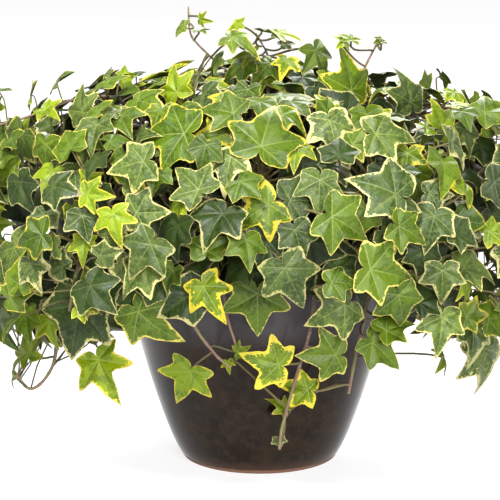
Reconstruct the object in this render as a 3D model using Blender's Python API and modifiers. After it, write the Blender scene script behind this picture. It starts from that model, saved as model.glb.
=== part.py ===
"""A potted ivy: a glazed pot, its potting mix, woody vines and the larger variegated leaves.

The origin is at the centre of the pot's flat base. +Z is up, -Y is the front and +X is to the
right of someone who faces the front. Blender's unit is the metre; the tables below are in
millimetres, and mm() converts them.
"""

import math

import bmesh
import bpy
from mathutils import Matrix, Vector

# Driving dimensions, in metres.
GAP = 0.0003
POT_HEIGHT = 0.140
POT_BASE_RADIUS = 0.054
POT_FLARE = 0.046
POT_FLARE_POWER = 0.74
POT_WALL = 0.006
POT_FLOOR = 0.008
POT_STEPS = 36
SOIL_HEIGHT = 0.120
SOIL_CROWN = 0.003
PLANTED_DEPTH = 0.014
BLADE_THICKNESS = 0.0005
PETIOLE_RADIUS = 0.0007

# Each vine: its radius at the soil and at its tip, where it leaves the soil (x, y), and the
# points (x, y, z) that it bends through.
VINES = [
    # Four that come over the front of the rim and hang against the pot.
    (1.7, 0.9, (-30, -55), [
        (-40, -84, 158), (-48, -107, 147), (-45, -111, 123),
        (-31, -112, 102), (-20, -112, 92),
    ]),
    (1.3, 0.8, (-10, -60), [(-17, -88, 155), (-24, -108, 146), (-22, -110, 126), (-16, -111, 106)]),
    (1.7, 0.9, (25, -56), [
        (32, -86, 158), (36, -108, 147), (33, -112, 118),
        (24, -110, 85), (15, -106, 50), (13, -105, 33),
    ]),
    (1.7, 1.0, (52, -34), [(62, -70, 164), (73, -92, 152), (71, -95, 127), (65, -92, 98), (60, -90, 68)]),
    # Three that carry the front of the crown.
    (2.0, 1.0, (-44, -34), [
        (-62, -68, 195), (-86, -98, 214), (-106, -112, 194),
        (-121, -112, 160), (-128, -100, 128),
    ]),
    (2.0, 1.0, (0, -38), [(4, -78, 205), (0, -108, 221), (-12, -124, 200), (-20, -126, 168)]),
    (2.0, 1.0, (34, -26), [
        (54, -64, 200), (80, -96, 214), (98, -114, 190),
        (106, -114, 158), (101, -102, 130),
    ]),
    # The left side: a thick woody one, a lower one, and one that hangs and hooks back up.
    (2.6, 1.7, (-58, -8), [(-98, -18, 203), (-148, -20, 222), (-190, -22, 213), (-224, -24, 207)]),
    (1.9, 1.1, (-60, 20), [(-100, 8, 170), (-142, -30, 152), (-176, -48, 132), (-212, -58, 118)]),
    (1.7, 1.0, (-56, -28), [
        (-98, -48, 162), (-134, -48, 112), (-147, -30, 70),
        (-162, -26, 54), (-174, -24, 66),
    ]),
    # The right side.
    (2.4, 1.5, (58, -6), [(100, -8, 190), (148, -12, 206), (188, -14, 217), (222, -16, 222)]),
    (1.9, 1.0, (58, 26), [(104, 10, 164), (148, -16, 130), (176, -18, 106), (204, -24, 92)]),
    # The back.
    (2.0, 1.0, (-38, 40), [(-74, 84, 195), (-95, 128, 205), (-110, 160, 165), (-115, 172, 115)]),
    (2.0, 1.0, (2, 55), [(6, 98, 200), (11, 142, 195), (6, 170, 150), (1, 180, 105)]),
    (2.0, 1.0, (44, 42), [(79, 88, 195), (104, 128, 200), (119, 156, 155), (124, 168, 105)]),
    # Thin ones that rise from the crown.
    (1.6, 0.6, (-18, -12), [
        (-14, -4, 200), (-20, 0, 268), (-29, 2, 281),
        (-44, 2, 296), (-49, 0, 305), (-50, 0, 322),
    ]),
    (1.5, 0.6, (8, 12), [(6, 10, 210), (5, 8, 262), (6, 5, 285), (-3, 4, 303)]),
    (1.6, 0.7, (34, 8), [(50, 4, 190), (64, 2, 250), (73, 2, 278), (84, 3, 300)]),
    # The upper left and upper right shoulders.
    (1.8, 0.8, (-38, 2), [(-60, 0, 200), (-92, -2, 252), (-124, 0, 258), (-164, 2, 244), (-194, 0, 236)]),
    (1.8, 0.8, (46, 24), [(76, 20, 200), (110, 16, 246), (150, 10, 246), (188, 6, 234)]),
]

# The leafy mound, in millimetres: its widest level, its reach to the front and to each side
# there, and how far it rises above that level and drops below it.
MOUND_MIDDLE = 165
MOUND_REACH = 172
MOUND_HALF_WIDTH = 214
MOUND_RISE = 110
MOUND_DROP = 100
LEAST_REACH = 25

# Each leaf: where its petiole meets the blade, as how far it is across and up the mound's face
# and how far it stands off that face (a fourth number, 1, puts it on the back); the turn of its
# tip clockwise from straight up in degrees; its length from there to the tip; how far its face
# looks up in degrees; and its tone.
LEAVES = [
    # The crown, from the middle out to the left.
    ((0, 245, 5), 15, 37, 30, "green"),
    ((-50, 250, 0), 270, 35, 35, "green"),
    ((-75, 238, 25), 255, 28, 25, "pale"),
    ((-40, 220, 0), 315, 26, 30, "pale"),
    ((-95, 205, 10), 165, 22, 20, "lime"),
    ((-112, 215, 10), 90, 20, 20, "lime"),
    ((-145, 235, -20), 180, 24, 10, "green"),
    ((-123, 252, -35), 330, 25, 15, "pale"),
    ((-57, 268, -10), 330, 26, 15, "lime"),
    # The crown, from the middle out to the right.
    ((-18, 262, 10), 285, 28, 40, "green"),
    ((5, 212, 0), 240, 30, 25, "lime"),
    ((45, 205, 5), 120, 30, 20, "pale"),
    ((86, 217, 10), 300, 32, 25, "dark"),
    ((88, 198, 10), 120, 24, 20, "green"),
    ((70, 170, 0), 105, 33, 15, "green"),
    ((140, 242, -30), 170, 22, 15, "pale"),
    ((122, 248, -10), 60, 26, 20, "lime"),
    ((104, 258, -40), 0, 27, 10, "dark"),
    ((45, 258, 10), 170, 27, 30, "pale"),
    ((63, 266, -40), 0, 34, 5, "green"),
    ((38, 293, -10), 165, 26, 30, "pale"),
    # The skirt and the left side.
    ((-70, 187, 5), 215, 28, 20, "pale"),
    ((-110, 157, 5), 135, 25, 15, "dark"),
    ((-142, 187, 10), 250, 25, 20, "green"),
    ((-166, 168, -25), 135, 33, 15, "pale"),
    ((-120, 133, -35), 195, 43, 5, "dark"),
    ((-110, 90, -5), 150, 34, 0, "lime"),
    ((-162, 82, 15), 330, 25, 10, "lime"),
    ((-80, 136, -20), 135, 33, 0, "green"),
    # In front of the pot, and the right side.
    ((-37, 156, -20), 150, 28, 15, "pale"),
    ((-2, 148, -35), 180, 31, 5, "green"),
    ((15, 174, 5), 155, 31, 5, "pale"),
    ((55, 140, -30), 240, 30, 5, "pale"),
    ((50, 102, -20), 270, 27, 0, "green"),
    ((12, 98, -10), 285, 28, 0, "lime"),
    ((-47, 92, 0), 205, 28, 0, "lime"),
    ((156, 87, 15), 170, 38, 5, "pale"),
    # The back.
    ((55, 195, 0, 1), 165, 34, 25, "green"),
]

# Half of an ivy leaf's outline: angle from the tip in degrees, and radius over length.
# It runs tip, shoulder, notch, side lobe, notch, base lobe, and the notch at the petiole.
LEAF_OUTLINE = [
    (0, 1.00), (16, 0.62), (33, 0.50), (48, 0.64), (62, 0.80),
    (78, 0.60), (93, 0.50), (118, 0.58), (147, 0.40), (180, 0.08),
]
LEAF_DROOP = 0.16

COLOURS = {
    "pot": ((0.030, 0.024, 0.019), 0.35),
    "soil": ((0.035, 0.022, 0.014), 0.95),
    "bark": ((0.145, 0.085, 0.055), 0.70),
    "green": ((0.135, 0.225, 0.045), 0.50),
    "lime": ((0.290, 0.400, 0.050), 0.50),
    "pale": ((0.270, 0.360, 0.180), 0.50),
    "dark": ((0.055, 0.090, 0.045), 0.50),
}


def mm(point):
    """A point in metres, from millimetres."""
    return Vector(point) * 0.001


def on_mound(across, up, stand, side=-1):
    """A point this far across and up the mound, standing off its face; side is 1 at the back.

    The mound's outline is a superellipse, widest at MOUND_MIDDLE, and each level is an ellipse.
    """
    level = abs(up - MOUND_MIDDLE) / (MOUND_RISE if up > MOUND_MIDDLE else MOUND_DROP)
    size = max(0, 1 - level ** 2.4) ** (1 / 2.2)
    share = min(1, abs(across) / max(1, MOUND_HALF_WIDTH * size))
    reach = max(LEAST_REACH, MOUND_REACH * size * math.sqrt(1 - share ** 2))
    return across, side * (reach + stand), up


def material(name):
    """The Principled material of this name from COLOURS, made the first time it is asked for."""
    found = bpy.data.materials.get(name)
    if found:
        return found
    made = bpy.data.materials.new(name)
    made.use_nodes = True
    colour, roughness = COLOURS[name]
    principled = made.node_tree.nodes["Principled BSDF"]
    principled.inputs["Base Color"].default_value = (*colour, 1)
    principled.inputs["Roughness"].default_value = roughness
    principled.inputs["Metallic"].default_value = 0
    made.diffuse_color = (*colour, 1)
    return made


def add_object(name, data, collection, material_name=None):
    """A new object in a collection, with its material."""
    made = bpy.data.objects.new(name, data)
    collection.objects.link(made)
    if material_name:
        data.materials.append(material(material_name))
    return made


def hide_helper(helper):
    """Keeps a cutter or a guide out of the model."""
    helper.hide_render = True
    helper.display_type = "WIRE"


def turned(name, profile, collection, material_name):
    """A solid of revolution from a profile of (radius, height) whose ends are on the axis."""
    data = bpy.data.meshes.new(name)
    points = [(radius, 0, height) for radius, height in profile]
    data.from_pydata(points, [(i, i + 1) for i in range(len(points) - 1)], [])
    made = add_object(name, data, collection, material_name)
    screw = made.modifiers.new("Turn", "SCREW")
    screw.steps = screw.render_steps = POT_STEPS
    screw.use_merge_vertices = True
    screw.merge_threshold = 0.00001
    return made


def pot_radius(height):
    """The pot's outer radius: steep at the foot and nearly straight at the rim."""
    return POT_BASE_RADIUS + POT_FLARE * (height / POT_HEIGHT) ** POT_FLARE_POWER


def smooth_path(points, steps):
    """A Catmull-Rom curve through the points, with this many steps between two of them."""
    ends = [2 * points[0] - points[1], *points, 2 * points[-1] - points[-2]]
    path = []
    for before, start, end, after in zip(ends, ends[1:], ends[2:], ends[3:]):
        for step in range(steps):
            t = step / steps
            path.append(
                0.5 * (
                    2 * start
                    + (end - before) * t
                    + (2 * before - 5 * start + 4 * end - after) * t ** 2
                    + (3 * start - before - 3 * end + after) * t ** 3
                )
            )
    return [*path, points[-1]]


def tube(name, path, radii, collection, material_name, resolution):
    """A curve object along a path, with its own radius at each point and closed ends."""
    data = bpy.data.curves.new(name, "CURVE")
    data.dimensions = "3D"
    data.bevel_depth = 1
    data.bevel_resolution = resolution
    data.use_fill_caps = True
    spline = data.splines.new("POLY")
    spline.points.add(len(path) - 1)
    for point, position, radius in zip(spline.points, path, radii):
        point.co = (*position, 1)
        point.radius = radius
    return add_object(name, data, collection, material_name)


def as_mesh(curve, collection):
    """The curve's tube as a mesh object with welded caps, in place of the curve."""
    bpy.context.view_layer.update()
    graph = bpy.context.evaluated_depsgraph_get()
    data = bpy.data.meshes.new_from_object(curve.evaluated_get(graph))
    work = bmesh.new()
    work.from_mesh(data)
    bmesh.ops.remove_doubles(work, verts=work.verts, dist=0.00001)
    bmesh.ops.recalc_face_normals(work, faces=work.faces)
    work.to_mesh(data)
    work.free()
    made = bpy.data.objects.new(curve.name, data)
    collection.objects.link(made)
    made.matrix_world = curve.matrix_world
    name = curve.name
    bpy.data.objects.remove(curve)
    made.name = name
    return made


def leaf_axes(place, turn, face):
    """Matrix columns across, to the tip and out of the face of a leaf at this place."""
    outward = math.atan2(place.x, -place.y)
    azimuth = outward * (0.6 if place.y < 0 else 1)
    face = math.radians(face)
    turn = math.radians(turn)
    normal = Vector((
        math.sin(azimuth) * math.cos(face),
        -math.cos(azimuth) * math.cos(face),
        math.sin(face),
    ))
    right = Vector((math.cos(azimuth), math.sin(azimuth), 0))
    up = (Vector((0, 0, 1)) - normal * normal.z).normalized()
    tip = up * math.cos(turn) + right * math.sin(turn)
    return tip.cross(normal), tip, normal


def blade_mesh(name, length):
    """An open lobed surface: a hub, a ring halfway out and the outline, drooping to the tips."""
    outline = LEAF_OUTLINE + [(360 - angle, radius) for angle, radius in LEAF_OUTLINE[-2:0:-1]]

    def point(angle, radius):
        along = math.radians(angle)
        return length * Vector((
            radius * math.sin(along), radius * math.cos(along), -LEAF_DROOP * radius ** 2,
        ))

    work = bmesh.new()
    hub = work.verts.new((0, 0, 0))
    edge = [work.verts.new(point(*at)) for at in outline]
    middle = [work.verts.new(point(angle, radius * 0.5)) for angle, radius in outline[::2]]
    for i, inner in enumerate(middle):
        following = middle[(i + 1) % len(middle)]
        first, second = edge[2 * i], edge[2 * i + 1]
        third = edge[(2 * i + 2) % len(edge)]
        work.faces.new((hub, following, inner))
        work.faces.new((inner, second, first))
        work.faces.new((inner, following, second))
        work.faces.new((following, third, second))
    bmesh.ops.recalc_face_normals(work, faces=work.faces)
    data = bpy.data.meshes.new(name)
    work.to_mesh(data)
    work.free()
    return data


def petiole_path(place, tip, normal, stems):
    """From the blade's hub to the nearest vine behind it, stopping a little short of its bark."""
    best = None
    for path, radii in stems:
        for i in range(2, len(path) - 1):
            away = path[i] - place
            if away.dot(normal) > -0.008 or away.length < 0.012:
                continue
            if best is None or away.length < best[0]:
                best = (away.length, path[i], radii[i], (path[i + 1] - path[i - 1]).normalized())
    reach, nearest, radius, along = best
    start = place - normal * 0.0016
    leave = start - (tip * 0.8 + normal * 0.6) * reach * 0.35
    side = leave - nearest
    side = (side - along * side.dot(along)).normalized()
    end = nearest + side * (radius + GAP + 0.0003)
    arrive = end + side * reach * 0.25
    path = [place + normal * 0.0008]
    for step in range(6):
        t = step / 5
        path.append(
            start * (1 - t) ** 3 + leave * 3 * t * (1 - t) ** 2
            + arrive * 3 * t ** 2 * (1 - t) + end * t ** 3
        )
    return path


for old in list(bpy.data.objects):
    bpy.data.objects.remove(old)

scene_root = bpy.context.scene.collection
ivy = bpy.data.collections.new("potted_ivy")
cutters = bpy.data.collections.new("cutters")
petioles = bpy.data.collections.new("petioles")
for made_collection in (ivy, cutters, petioles):
    scene_root.children.link(made_collection)

# The pot: one turned shell, open at the top, with a flat base and a rounded rim.
wall_heights = [0.014, 0.024, 0.040, 0.060, 0.085, SOIL_HEIGHT]
rim_centre = pot_radius(POT_HEIGHT) - POT_WALL / 2
pot_profile = [(0, POT_FLOOR), (pot_radius(POT_FLOOR) - POT_WALL - 0.003, POT_FLOOR)]
pot_profile += [(pot_radius(height) - POT_WALL, height) for height in wall_heights]
pot_profile += [
    (rim_centre - 0.0030, POT_HEIGHT - 0.0030),
    (rim_centre - 0.0015, POT_HEIGHT - 0.0006),
    (rim_centre, POT_HEIGHT),
    (rim_centre + 0.0018, POT_HEIGHT - 0.0008),
    (rim_centre + 0.0029, POT_HEIGHT - 0.0034),
]
pot_profile += [(pot_radius(height), height) for height in (0.110, 0.080, 0.050, 0.028, 0.012, 0.0025)]
pot_profile += [(POT_BASE_RADIUS, 0), (0, 0)]
turned("pot", pot_profile, ivy, "pot")

# The potting mix fills the pot to below the rim, a gap in from the wall, slightly crowned.
soil_profile = [(0, SOIL_HEIGHT + SOIL_CROWN), (0.050, SOIL_HEIGHT + SOIL_CROWN * 0.7)]
soil_profile += [
    (pot_radius(height) - POT_WALL - 2 * GAP, height) for height in reversed(wall_heights)
]
soil_profile += [
    (pot_radius(POT_FLOOR) - POT_WALL - 0.0035, POT_FLOOR + GAP),
    (0, POT_FLOOR + GAP),
]
potting_mix = turned("potting_mix", soil_profile, ivy, "soil")

# The vines stand in holes in the mix, upright to its surface, then bend through their points.
stems = []
for number, (thick, thin, (x, y), bends) in enumerate(VINES, 1):
    foot = mm((x, y, 0)) + Vector((0, 0, SOIL_HEIGHT + SOIL_CROWN - PLANTED_DEPTH))
    collar = foot + Vector((0, 0, PLANTED_DEPTH + 0.002))
    path = [foot, *smooth_path([collar, *map(mm, bends)], 2)]
    radii = [
        0.001 * (thick + (thin - thick) * max(0, i - 1) / (len(path) - 2))
        for i in range(len(path))
    ]
    tube(f"vine_{number:02d}", path, radii, ivy, "bark", 1)
    stems.append((path, radii))
    bpy.ops.mesh.primitive_cylinder_add(
        vertices=8,
        radius=0.001 * thick + 1.5 * GAP,
        depth=PLANTED_DEPTH + 0.010,
        location=foot + Vector((0, 0, PLANTED_DEPTH / 2 + 0.005 - GAP)),
    )
    hole = bpy.context.object
    hole.name = f"hole_{number:02d}"
    bpy.context.collection.objects.unlink(hole)
    cutters.objects.link(hole)
    hide_helper(hole)
planting = potting_mix.modifiers.new("Holes for the vines", "BOOLEAN")
planting.operation = "DIFFERENCE"
planting.operand_type = "COLLECTION"
planting.collection = cutters

# The leaves: a lobed blade with thickness, united with a petiole that runs to its vine.
for number, (spot, turn, length, face, tone) in enumerate(LEAVES, 1):
    place = mm(on_mound(*spot))
    across, tip, normal = leaf_axes(place, turn, face)
    leaf = add_object(f"leaf_{number:02d}", blade_mesh("blade", 0.001 * length), ivy, tone)
    leaf.matrix_world = Matrix.Translation(place) @ Matrix((across, tip, normal)).transposed().to_4x4()
    thickness = leaf.modifiers.new("Thickness", "SOLIDIFY")
    thickness.thickness = BLADE_THICKNESS
    thickness.offset = 0
    stalk_path = petiole_path(place, tip, normal, stems)
    stalk = tube(
        f"petiole_{number:02d}", stalk_path, [PETIOLE_RADIUS] * len(stalk_path), petioles, tone, 0,
    )
    stalk = as_mesh(stalk, petioles)
    hide_helper(stalk)
    joined = leaf.modifiers.new("Petiole", "BOOLEAN")
    joined.operation = "UNION"
    joined.object = stalk
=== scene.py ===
import math

import bpy
import numpy as np
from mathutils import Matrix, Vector
from mathutils.bvhtree import BVHTree


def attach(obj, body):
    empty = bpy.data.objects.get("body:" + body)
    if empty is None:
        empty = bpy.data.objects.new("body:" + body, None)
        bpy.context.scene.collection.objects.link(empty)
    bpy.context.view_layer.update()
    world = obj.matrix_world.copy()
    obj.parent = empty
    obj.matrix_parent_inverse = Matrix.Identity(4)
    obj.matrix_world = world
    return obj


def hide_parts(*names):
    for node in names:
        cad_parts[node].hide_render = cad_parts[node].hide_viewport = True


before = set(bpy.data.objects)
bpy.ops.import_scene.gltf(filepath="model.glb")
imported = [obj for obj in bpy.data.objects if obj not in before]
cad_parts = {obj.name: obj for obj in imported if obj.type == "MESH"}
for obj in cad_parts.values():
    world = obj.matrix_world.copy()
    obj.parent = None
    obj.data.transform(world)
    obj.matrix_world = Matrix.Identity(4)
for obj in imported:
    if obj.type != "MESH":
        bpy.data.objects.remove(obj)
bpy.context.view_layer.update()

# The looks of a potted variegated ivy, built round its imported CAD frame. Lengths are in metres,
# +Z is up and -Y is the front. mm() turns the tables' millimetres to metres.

# ---------------------------------------------------------------------------
# The view: a long lens from the front, higher than the crown and looking down on it a little.
# The foliage is wider than the picture, so its sides are cut off.
# ---------------------------------------------------------------------------
CAMERA_DISTANCE = 1.600
CAMERA_HEIGHT = 0.480
AIM_ACROSS = -0.007
AIM_HEIGHT = 0.149

camera_data = bpy.data.cameras.new("camera")
camera_data.sensor_width = 36
camera_data.lens = 165.5
camera = bpy.data.objects.new("camera", camera_data)
bpy.context.scene.collection.objects.link(camera)
camera.location = (AIM_ACROSS, -CAMERA_DISTANCE, CAMERA_HEIGHT)
aim = Vector((AIM_ACROSS, 0, AIM_HEIGHT)) - camera.location
camera.rotation_euler = aim.to_track_quat("-Z", "Y").to_euler()
bpy.context.scene.camera = camera

# ---------------------------------------------------------------------------
# The pot: thrown stoneware with a dark brown satin glaze inside and out.
# The glaze stops just above the foot, which is bare reddish clay.
# ---------------------------------------------------------------------------
POT_HEIGHT = 0.140
POT_BASE_RADIUS = 0.054
POT_FLARE = 0.046
POT_FLARE_POWER = 0.74
POT_WALL = 0.006
POT_FLOOR = 0.008
POT_FLAT = 0.030
FOOT_ROUNDING = 0.0022
FLOOR_FILLET = 0.006


def mm(point):
    """A point or a length in metres, from millimetres."""
    return np.asarray(point, float) * 0.001


def pot_radius(height):
    """Outer radius: the base's, plus the flare times the height's share of the whole to a power."""
    share = np.maximum(height, 0) / POT_HEIGHT
    return POT_BASE_RADIUS + POT_FLARE * share ** POT_FLARE_POWER


def arc(centre, radius, start, end, count):
    """Points (radius, height) on a circle in the profile's plane, between two angles in degrees."""
    angle = np.radians(np.linspace(start, end, count))
    return np.column_stack((centre[0] + radius * np.cos(angle), centre[1] + radius * np.sin(angle)))


def turned_surface(profile, steps):
    """A profile of (radius, height) carried round the Z axis, its two ends closed at poles.

    Each point goes to (radius cos a, radius sin a, height) for equal steps of a.
    """
    angle = np.linspace(0, 2 * np.pi, steps, endpoint=False)
    inner = profile[1:-1]
    x = inner[:, :1] * np.cos(angle)
    y = inner[:, :1] * np.sin(angle)
    z = np.repeat(inner[:, 1:2], steps, axis=1)
    rings = np.stack((x, y, z), axis=2).reshape(-1, 3)
    poles = [(0, 0, profile[0, 1]), (0, 0, profile[-1, 1])]
    points = np.vstack((rings, poles))
    start, end = len(points) - 2, len(points) - 1
    grid = np.arange(len(inner) * steps).reshape(len(inner), steps)
    following = np.roll(grid, -1, axis=1)
    walls = np.stack((grid[:-1], grid[1:], following[1:], following[:-1]), axis=2).reshape(-1, 4)
    first = np.column_stack((np.full(steps, start), grid[0], following[0]))
    last = np.column_stack((np.full(steps, end), following[-1], grid[-1]))
    return points, [*walls.tolist(), *first.tolist(), *last.tolist()]


def add_piece(name, points, faces, material, replaced=()):
    """A new piece at the origin from world points and faces, riding on the one body."""
    mesh = bpy.data.meshes.new(name)
    mesh.from_pydata(np.asarray(points).tolist(), [], faces)
    mesh.polygons.foreach_set("use_smooth", np.full(len(mesh.polygons), True))
    mesh.materials.append(material)
    mesh.update()
    piece = bpy.data.objects.new(name, mesh)
    bpy.context.scene.collection.objects.link(piece)
    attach(piece, "root")
    if replaced:
        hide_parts(*replaced)
    return piece


class Nodes:
    """Short ways to add and link the nodes of one material or node group."""

    def __init__(self, tree):
        self.tree = tree

    def add(self, kind, settings=None, **inputs):
        """A node of this kind, with attributes set and its named inputs linked or given a value."""
        node = self.tree.nodes.new(kind)
        for key, value in (settings or {}).items():
            setattr(node, key, value)
        for key, value in inputs.items():
            self.put(node.inputs[key.replace("_", " ")], value)
        return node

    def put(self, socket, value):
        """Links a socket to an output, or sets its value."""
        if isinstance(value, bpy.types.NodeSocket):
            self.tree.links.new(value, socket)
        else:
            socket.default_value = value

    def maths(self, operation, *values):
        """The result of a Math node on one, two or three values."""
        node = self.tree.nodes.new("ShaderNodeMath")
        node.operation = operation
        for socket, value in zip(node.inputs, values):
            self.put(socket, value)
        return node.outputs[0]

    def ramp(self, value, low, high, to_low=0.0, to_high=1.0):
        """A smooth step of a value from one pair of numbers to another."""
        node = self.add("ShaderNodeMapRange", {"interpolation_type": "SMOOTHSTEP"})
        for socket, number in zip(node.inputs[:5], (value, low, high, to_low, to_high)):
            self.put(socket, number)
        return node.outputs[0]

    def mix(self, share, first, second, blend="MIX"):
        """Two colours mixed by a share from 0 to 1."""
        node = self.add("ShaderNodeMix", {"data_type": "RGBA", "blend_type": blend})
        self.put(node.inputs[0], share)
        self.put(node.inputs[6], (*first, 1) if isinstance(first, tuple) else first)
        self.put(node.inputs[7], (*second, 1) if isinstance(second, tuple) else second)
        return node.outputs[2]

    def noise(self, vector, scale, detail=2.0, roughness=0.5, distortion=0.0):
        """The value of a noise texture, 0 to 1."""
        node = self.add("ShaderNodeTexNoise", Scale=scale, Detail=detail,
                        Roughness=roughness, Distortion=distortion)
        self.put(node.inputs["Vector"], vector)
        return node.outputs["Fac"]

    def bump(self, surface, strength, distance, height):
        """Gives a shader a relief of this height."""
        node = self.add("ShaderNodeBump", Strength=strength, Distance=distance, Height=height)
        self.put(surface.inputs["Normal"], node.outputs[0])


def new_material(name):
    """(material, its nodes, its Principled BSDF), with the shader already at the output."""
    material = bpy.data.materials.new(name)
    material.use_nodes = True
    nodes = Nodes(material.node_tree)
    return material, nodes, material.node_tree.nodes["Principled BSDF"]


def glaze_material():
    """Dark brown satin glaze, mottled, with a painted reflection (a grey band below the rim) and a bare
    clay foot.
    """
    material, nodes, surface = new_material("brown_glaze")
    place = nodes.add("ShaderNodeTexCoord").outputs["Object"]
    height = nodes.add("ShaderNodeSeparateXYZ", Vector=place).outputs["Z"]
    cloud = nodes.noise(place, 38, 4, 0.6)
    speck = nodes.noise(place, 420, 2, 0.6)
    wander = nodes.maths("MULTIPLY_ADD", nodes.noise(place, 60, 2), 0.0014, 0.0022)
    glazed = nodes.ramp(nodes.maths("SUBTRACT", height, wander), -0.0002, 0.0003)
    thin = nodes.ramp(height, 0.012, 0.003, 0.0, 0.35)
    dark = nodes.mix(nodes.ramp(cloud, 0.35, 0.7), (0.0062, 0.0034, 0.0014), (0.0135, 0.0078, 0.0036))
    mottle = nodes.ramp(nodes.noise(place, 150, 4, 0.7), 0.42, 0.68, 0.0, 0.6)
    dark = nodes.mix(mottle, dark, (0.024, 0.0125, 0.0055))
    dark = nodes.mix(thin, dark, (0.075, 0.036, 0.022))
    # Painted reflection: a pale grey band below the rim, standing in for the bright table mirrored in the
    # glaze.
    reflection_band_edge = nodes.maths("MULTIPLY_ADD", cloud, -0.020, height)
    painted_reflection_band = nodes.ramp(reflection_band_edge, 0.080, 0.112, 0.0, 0.85)
    dark = nodes.mix(painted_reflection_band, dark, (0.058, 0.052, 0.056))
    clay = nodes.mix(nodes.noise(place, 300, 3), (0.105, 0.052, 0.034), (0.175, 0.090, 0.058))
    nodes.put(surface.inputs["Base Color"], nodes.mix(glazed, clay, dark))
    surface.inputs["IOR"].default_value = 1.25
    gloss = nodes.maths("MULTIPLY_ADD", cloud, 0.12, 0.08)
    nodes.put(surface.inputs["Roughness"], nodes.maths(
        "ADD", nodes.maths("MULTIPLY", glazed, gloss),
        nodes.maths("MULTIPLY", nodes.maths("SUBTRACT", 1.0, glazed), 0.85)))
    relief = nodes.maths("ADD", nodes.maths("MULTIPLY", nodes.noise(place, 90, 3), 0.6),
                         nodes.maths("MULTIPLY", speck, 0.08))
    nodes.bump(surface, 0.18, 0.0006, relief)
    return material


glaze = glaze_material()
rim_middle = POT_HEIGHT - POT_WALL / 2
rim_radius = pot_radius(rim_middle) - POT_WALL / 2
fillet_radius = pot_radius(POT_FLOOR) - POT_WALL - FLOOR_FILLET
wall = np.linspace(FOOT_ROUNDING + 0.0012, rim_middle, 40)
inner_wall = np.linspace(POT_FLOOR + FLOOR_FILLET, rim_middle, 24)
pot_profile = np.vstack((
    [(0, POT_FLOOR), (POT_FLAT, POT_FLOOR)],
    arc((fillet_radius, POT_FLOOR + FLOOR_FILLET), FLOOR_FILLET, 270, 350, 6),
    np.column_stack((pot_radius(inner_wall) - POT_WALL, inner_wall))[1:],
    arc((rim_radius, rim_middle), POT_WALL / 2, 170, 10, 12),
    np.column_stack((pot_radius(wall), wall))[::-1],
    arc((POT_BASE_RADIUS - 0.0004, FOOT_ROUNDING), FOOT_ROUNDING, -15, -90, 6),
    [(POT_FLAT, 0), (0, 0)],
))
pot_points, pot_faces = turned_surface(pot_profile, 160)
add_piece("glazed_pot", pot_points, pot_faces, glaze, ["pot"])

# ---------------------------------------------------------------------------
# The potting mix: dark peat and bark crumb, a little below the rim.
# It is crowned towards the middle, where the vines come out of it.
# ---------------------------------------------------------------------------
SOIL_HEIGHT = 0.120
SOIL_CROWN = 0.003
SOIL_GAP = 0.0006
SOIL_FLAT = 0.045
CRUMB_HEIGHT = 0.0028
CRUMB_FADE = 0.004


def crumb(x, y, seed):
    """Lumpy relief from -1 to 1: a sum of crossed waves, each finer, weaker and turned."""
    rng = np.random.default_rng(seed)
    total = np.zeros_like(x)
    for wavelength, share in ((0.026, 0.30), (0.013, 0.30), (0.0071, 0.25), (0.0042, 0.15)):
        turn = rng.uniform(0, np.pi)
        across = (x * np.cos(turn) + y * np.sin(turn)) * 2 * np.pi / wavelength
        along = (y * np.cos(turn) - x * np.sin(turn)) * 2 * np.pi / wavelength
        total += share * np.sin(across + rng.uniform(0, 6)) * np.sin(along + rng.uniform(0, 6))
    return total


def soil_material():
    """Damp dark crumb with paler lumps and a few light grains."""
    material, nodes, surface = new_material("potting_mix")
    place = nodes.add("ShaderNodeTexCoord").outputs["Object"]
    lump = nodes.noise(place, 260, 5, 0.65)
    dark = nodes.mix(nodes.ramp(lump, 0.35, 0.65), (0.012, 0.008, 0.006), (0.060, 0.036, 0.022))
    cells = nodes.add("ShaderNodeTexVoronoi", Scale=190.0)
    nodes.put(cells.inputs["Vector"], place)
    grain = nodes.ramp(cells.outputs["Distance"], 0.16, 0.10)
    few = nodes.ramp(nodes.noise(place, 120, 1), 0.60, 0.66)
    pale = nodes.mix(nodes.maths("MULTIPLY", grain, few), dark, (0.42, 0.38, 0.31))
    nodes.put(surface.inputs["Base Color"], pale)
    surface.inputs["Roughness"].default_value = 0.95
    nodes.bump(surface, 0.9, 0.0015, lump)
    return material


soil_edge = pot_radius(SOIL_HEIGHT) - POT_WALL - SOIL_GAP
soil_rings = np.linspace(0.002, soil_edge, 56)
soil_profile = np.vstack((
    [(0, SOIL_HEIGHT + SOIL_CROWN)],
    np.column_stack((soil_rings, SOIL_HEIGHT + SOIL_CROWN * (1 - (soil_rings / soil_edge) ** 2))),
    np.column_stack((pot_radius(inner_wall[3:20]) - POT_WALL - SOIL_GAP, inner_wall[3:20]))[::-1],
    [(SOIL_FLAT, POT_FLOOR + SOIL_GAP), (0, POT_FLOOR + SOIL_GAP)],
))
soil_points, soil_faces = turned_surface(soil_profile, 200)
on_top = soil_points[:, 2] > SOIL_HEIGHT - 0.0001
lumps = crumb(soil_points[on_top, 0], soil_points[on_top, 1], 5)
from_middle = np.hypot(soil_points[on_top, 0], soil_points[on_top, 1])
edge_fade = np.clip((soil_edge - from_middle) / CRUMB_FADE, 0, 1)
soil_points[on_top, 2] += CRUMB_HEIGHT * lumps * edge_fade
add_piece("potting_mix_surface", soil_points, [face[::-1] for face in soil_faces],
          soil_material(), ["potting_mix"])

# ---------------------------------------------------------------------------
# The vines: woody runners planted in the mix, brown and ridged with a ring at each joint.
# Towards their tips they are thinner, smoother and flushed green and pink.
# ---------------------------------------------------------------------------
PLANTED_DEPTH = 0.014
JOINT_SPACING = 0.024
JOINT_SWELL = 0.22
VINE_SIDES = 10

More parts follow.
